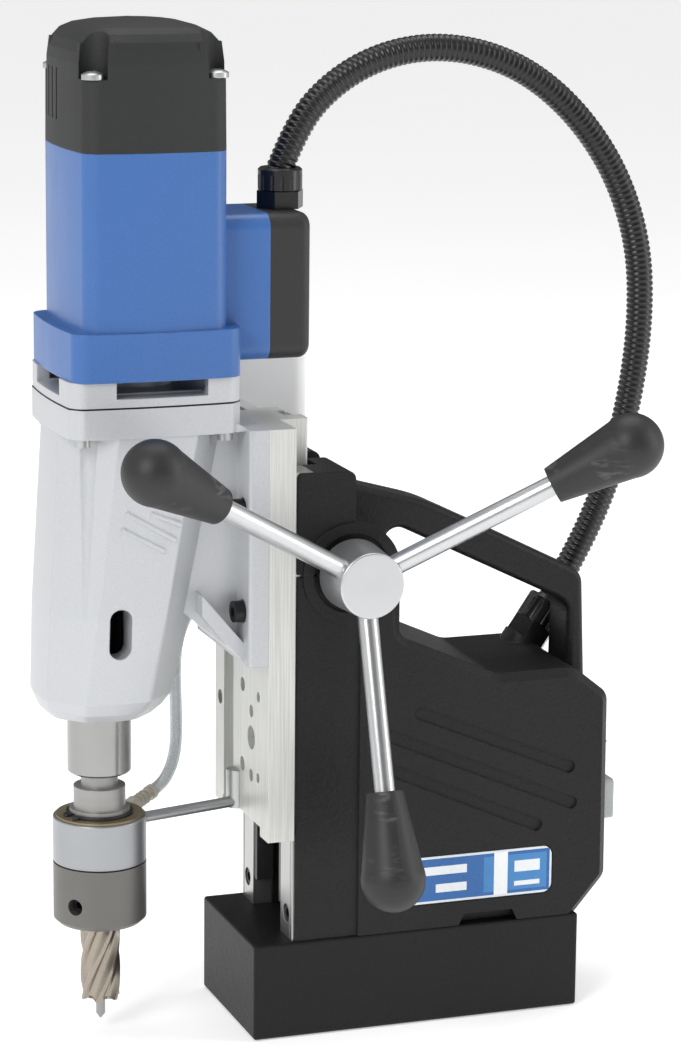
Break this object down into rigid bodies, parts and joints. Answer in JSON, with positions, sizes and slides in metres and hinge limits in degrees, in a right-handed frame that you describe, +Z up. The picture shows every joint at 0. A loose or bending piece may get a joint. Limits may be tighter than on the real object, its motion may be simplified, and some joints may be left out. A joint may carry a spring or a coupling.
{
  "type": "magnetic drill press",
  "caption": "Magnetic drill press: electromagnet foot, stand with carrying handle, sliding carriage with gear motor, annular cutter and a hand capstan.",
  "frame": {"origin": "centre of the magnet's underside", "axes": "+Z up along the feed, +X towards the control panel, -X towards the drill, the capstan's hub at -Y"},
  "size_m": [0.3176, 0.2004, 0.477],
  "materials": {
    "nickel_steel": "satin silver paint over steel",
    "copper_wire": "enamelled copper",
    "potting_resin": "cast resin",
    "black_oxide_screws": "black oxide",
    "black_powder_coat": "textured black powder coat",
    "ground_steel": "ground bright steel",
    "brass": "satin brass",
    "circuit_board": "circuit board",
    "blue_plate": "printed foil",
    "black_nylon": "moulded nylon",
    "clear_grey_plastic": "pale clear moulding",
    "black_hose": "corrugated conduit",
    "anodised_aluminium": "silver anodised extrusion",
    "silver_casting": "fine silver paint on a casting",
    "zinc_screws": "zinc plated",
    "blue_plastic": "satin blue moulding",
    "charcoal_plastic": "fine textured moulding",
    "lamination_steel": "varnished laminations",
    "white_tank": "translucent polythene",
    "clear_tube": "clear soft tube",
    "dark_steel": "blued turned steel",
    "tool_steel": "ground tool steel",
    "satin_steel": "satin chromed steel",
    "black_grip": "phenolic grip",
    "red_plastic": "red moulding",
    "green_plastic": "green moulding"
  },
  "bodies": {
    "stand": {"magnet_core": "nickel_steel", "magnet_coil": "copper_wire", "coil_potting": "potting_resin", "magnet_bolts": "black_oxide_screws", "stand_casting": "black_powder_coat", "rails": "ground_steel", "rail_screws": "black_oxide_screws", "gib_strips": "brass", "control_board": "circuit_board", "name_plate": "blue_plate", "capstan_bushes": "brass", "stand_gland": "black_nylon", "mains_gland": "black_nylon", "rocker_bezel": "black_nylon", "button_frame": "clear_grey_plastic", "hose": "black_hose"},
    "carriage": {"carriage_plate": "anodised_aluminium", "rack": "ground_steel", "gear_case": "silver_casting", "bracket_bolts": "zinc_screws", "vent_flange": "silver_casting", "motor_housing": "blue_plastic", "motor_cap": "charcoal_plastic", "cap_screws": "zinc_screws", "case_screws": "zinc_screws", "stator": "lamination_steel", "brush_gear": "copper_wire", "bearings": "ground_steel", "switch_box_cover": "charcoal_plastic", "motor_gland": "black_nylon", "coolant_tank": "white_tank", "valve_body": "brass", "coolant_tube": "clear_tube", "tube_barb": "zinc_screws", "coolant_ring": "dark_steel", "ring_washer": "brass", "support_rod": "ground_steel", "rod_clamp": "anodised_aluminium"},
    "spindle": {"spindle": "ground_steel", "tool_holder": "dark_steel", "circlip": "black_oxide_screws", "spindle_gear": "ground_steel", "set_screws": "black_oxide_screws", "cutter": "tool_steel"},
    "pilot": {"pilot_pin": "ground_steel", "ejector_spring": "ground_steel"},
    "armature": {"armature_shaft": "ground_steel", "armature_core": "lamination_steel", "fan": "charcoal_plastic"},
    "first_layshaft": {"first_layshaft": "ground_steel"},
    "second_layshaft": {"second_layshaft": "ground_steel"},
    "capstan": {"pinion_shaft": "ground_steel", "capstan_hub": "satin_steel", "capstan_arms": "satin_steel", "capstan_grips": "black_grip"},
    "magnet_rocker": {"magnet_rocker": "red_plastic"},
    "start_button": {"start_button": "green_plastic"},
    "stop_button": {"stop_button": "red_plastic"},
    "valve_lever": {"valve_lever": "black_nylon"},
    "tank_cap": {"tank_cap": "black_nylon"}
  },
  "joints": [
    {"name": "feed_slide", "type": "slide", "parent": "stand", "child": "carriage", "axis": [0, 0, 1], "range_m": [-0.042, 0.113], "deforming": ["hose"]},
    {"name": "capstan_turn", "type": "hinge", "parent": "stand", "child": "capstan", "pos_m": [-0.0355, 0, 0.2233], "axis": [0, 1, 0], "range_deg": [-161, 432]},
    {"name": "armature_spin", "type": "hinge", "parent": "carriage", "child": "armature", "pos_m": [-0.128, 0, 0.36], "axis": [0, 0, 1], "continuous": true},
    {"name": "first_layshaft_spin", "type": "hinge", "parent": "carriage", "child": "first_layshaft", "pos_m": [-0.116, 0.01342, 0.28], "axis": [0, 0, 1], "continuous": true},
    {"name": "second_layshaft_spin", "type": "hinge", "parent": "carriage", "child": "second_layshaft", "pos_m": [-0.12211, -0.00668, 0.27], "axis": [0, 0, 1], "continuous": true},
    {"name": "spindle_spin", "type": "hinge", "parent": "carriage", "child": "spindle", "pos_m": [-0.1462, 0, 0.15], "axis": [0, 0, 1], "continuous": true},
    {"name": "pilot_slide", "type": "slide", "parent": "spindle", "child": "pilot", "axis": [0, 0, 1], "range_m": [0, 0.012], "stiffness_N_per_m": 400, "springref_m": -0.008, "deforming": ["ejector_spring"]},
    {"name": "magnet_rocker_tilt", "type": "hinge", "parent": "stand", "child": "magnet_rocker", "pos_m": [0.096, -0.014, 0.124], "axis": [0, 1, 0], "range_deg": [-14, 0]},
    {"name": "start_button_press", "type": "slide", "parent": "stand", "child": "start_button", "axis": [-1, 0, 0], "range_m": [0, 0.0025], "stiffness_N_per_m": 600, "springref_m": -0.001},
    {"name": "stop_button_press", "type": "slide", "parent": "stand", "child": "stop_button", "axis": [-1, 0, 0], "range_m": [0, 0.0025], "stiffness_N_per_m": 600, "springref_m": -0.001},
    {"name": "valve_lever_turn", "type": "hinge", "parent": "carriage", "child": "valve_lever", "pos_m": [-0.062, 0.072, 0.215], "axis": [0, 1, 0], "range_deg": [0, 90]},
    {"name": "tank_cap_turn", "type": "hinge", "parent": "carriage", "child": "tank_cap", "pos_m": [-0.062, 0.066, 0.338], "axis": [0, 0, 1], "range_deg": [0, 540]}
  ],
  "couplings": [
    {"joint": "capstan_turn", "follows": "feed_slide", "rad_per_m": 66.667},
    {"joint": "first_layshaft_spin", "follows": "armature_spin", "ratio": -0.25},
    {"joint": "second_layshaft_spin", "follows": "armature_spin", "ratio": 0.1},
    {"joint": "spindle_spin", "follows": "armature_spin", "ratio": -0.042857}
  ]
}
